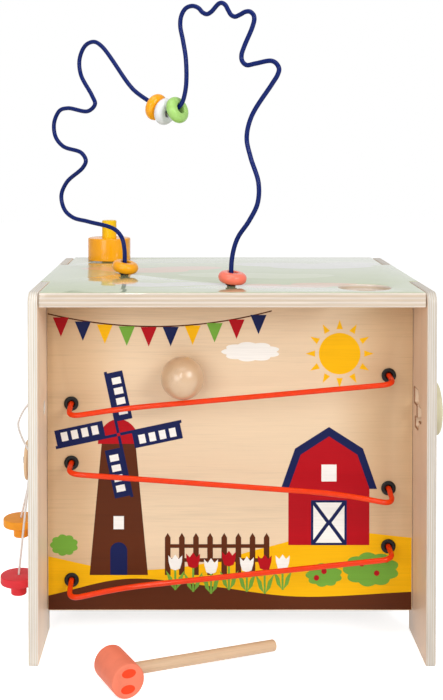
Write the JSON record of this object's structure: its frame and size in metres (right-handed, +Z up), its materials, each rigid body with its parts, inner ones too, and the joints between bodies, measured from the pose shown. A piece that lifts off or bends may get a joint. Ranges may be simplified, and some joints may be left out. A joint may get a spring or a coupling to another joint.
{
  "type": "activity cube",
  "caption": "Wooden activity cube for small children, with a ball run, a bead maze, a turning drum, a cord pull with weights, a turning disc and a loose hammer.",
  "frame": {"origin": "on the floor, below the middle of the bounding box of the cube and its hammer", "axes": "+Z up, +X to the right seen from the ball run, +Y from the ball run side to the back"},
  "size_m": [0.4722, 0.4148, 0.6747],
  "materials": {
    "plywood": "clear satin lacquer",
    "top_print": "printed, high gloss",
    "panel_print": "printed, satin lacquer",
    "bare_wood": "satin lacquer",
    "rail_paint": "gloss coat",
    "wire_paint": "gloss coat",
    "black_rubber": "matt",
    "steel": "zinc plated",
    "orange_paint": "gloss paint",
    "coral_paint": "gloss paint",
    "white_paint": "gloss paint",
    "green_paint": "gloss paint",
    "yellow_paint": "gloss paint",
    "red_paint": "gloss paint",
    "disc_paint": "satin paint",
    "head_paint": "gloss paint",
    "cord": "braided cotton"
  },
  "bodies": {
    "case": {"left_side_panel": "plywood", "right_side_panel": "plywood", "top_board": "top_print", "ball_run_panel": "panel_print", "back_panel": "bare_wood", "run_panel_screw_left_lower": "steel", "run_panel_screw_left_upper": "steel", "run_panel_screw_right_lower": "steel", "run_panel_screw_right_upper": "steel", "back_panel_screw_left_lower": "steel", "back_panel_screw_left_upper": "steel", "back_panel_screw_right_lower": "steel", "back_panel_screw_right_upper": "steel", "ball_rail_upper": "rail_paint", "ball_rail_middle": "rail_paint", "ball_rail_lower": "rail_paint", "rail_grommet_upper_left": "black_rubber", "rail_grommet_upper_right": "black_rubber", "rail_grommet_middle_left": "black_rubber", "rail_grommet_middle_right": "black_rubber", "rail_grommet_lower_left": "black_rubber", "rail_grommet_lower_right": "black_rubber", "rail_nut_upper_left": "steel", "rail_nut_upper_right": "steel", "rail_nut_middle_left": "steel", "rail_nut_middle_right": "steel", "rail_nut_lower_left": "steel", "rail_nut_lower_right": "steel", "bead_wire": "wire_paint", "wire_grommet_left": "black_rubber", "wire_grommet_right": "black_rubber", "wire_nut_left": "steel", "wire_nut_right": "steel", "drum_post": "yellow_paint", "pulley_bolt": "steel", "pulley_nut": "steel", "pull_cord_bend": "cord", "red_cord": "cord", "orange_cord": "cord", "cord_loop": "cord", "turn_disc_spacer": "bare_wood", "turn_disc_bolt": "steel", "turn_disc_nut": "steel"},
    "ball": {"wooden_ball": "bare_wood"},
    "left_foot_bead": {"foot_bead_orange": "orange_paint"},
    "right_foot_bead": {"foot_bead_coral": "coral_paint"},
    "orange_bead": {"valley_bead_orange": "orange_paint"},
    "white_bead": {"valley_bead_white": "white_paint"},
    "green_bead": {"valley_bead_green": "green_paint"},
    "drum": {"turning_drum": "orange_paint"},
    "pulley": {"pulley_wheel": "bare_wood"},
    "red_pull": {"red_weight": "red_paint"},
    "orange_pull": {"orange_weight": "orange_paint"},
    "disc": {"turn_disc": "disc_paint"},
    "hammer": {"hammer_head": "head_paint", "hammer_handle": "bare_wood"}
  },
  "joints": [
    {"name": "ball_roll", "type": "slide", "parent": "case", "child": "ball", "axis": [0.9959, 0, 0.0899], "range_m": [-0.1, 0.188]},
    {"name": "left_foot_bead_lift", "type": "slide", "parent": "case", "child": "left_foot_bead", "axis": [0, 0, 1], "range_m": [0, 0.012]},
    {"name": "right_foot_bead_lift", "type": "slide", "parent": "case", "child": "right_foot_bead", "axis": [0, 0, 1], "range_m": [0, 0.02]},
    {"name": "orange_bead_slide", "type": "slide", "parent": "case", "child": "orange_bead", "axis": [-0.6975, 0.5668, 0.4384], "range_m": [0, 0.018]},
    {"name": "white_bead_slide", "type": "slide", "parent": "case", "child": "white_bead", "axis": [-0.6975, 0.5668, 0.4384], "range_m": [0, 0.018]},
    {"name": "green_bead_spin", "type": "hinge", "parent": "case", "child": "green_bead", "pos_m": [-0.04572, -0.029, 0.5607], "axis": [0.7297, -0.593, 0.3404], "continuous": true},
    {"name": "drum_spin", "type": "hinge", "parent": "case", "child": "drum", "pos_m": [-0.1355, 0.17644, 0.39], "axis": [0, 0, 1], "continuous": true},
    {"name": "disc_spin", "type": "hinge", "parent": "case", "child": "disc", "pos_m": [0.2282, -0.04956, 0.24], "axis": [1, 0, 0], "continuous": true},
    {"name": "red_pull_slide", "type": "slide", "parent": "case", "child": "red_pull", "axis": [0, 0, 1], "range_m": [-0.04, 0.06], "deforming": ["red_cord"]},
    {"name": "orange_pull_slide", "type": "slide", "parent": "case", "child": "orange_pull", "axis": [0, 0, 1], "range_m": [-0.06, 0.04], "deforming": ["orange_cord"]},
    {"name": "pulley_turn", "type": "hinge", "parent": "case", "child": "pulley", "pos_m": [-0.2011, -0.04956, 0.184], "axis": [1, 0, 0], "range_deg": [-176, 117]},
    {"name": "hammer_lift", "type": "slide", "parent": "case", "child": "hammer", "axis": [0, -0.8, 0.6], "range_m": [0, 0.25]}
  ],
  "couplings": [
    {"joint": "white_bead_slide", "follows": "orange_bead_slide", "ratio": 1},
    {"joint": "orange_pull_slide", "follows": "red_pull_slide", "ratio": -1},
    {"joint": "pulley_turn", "follows": "red_pull_slide", "rad_per_m": -51.02}
  ]
}
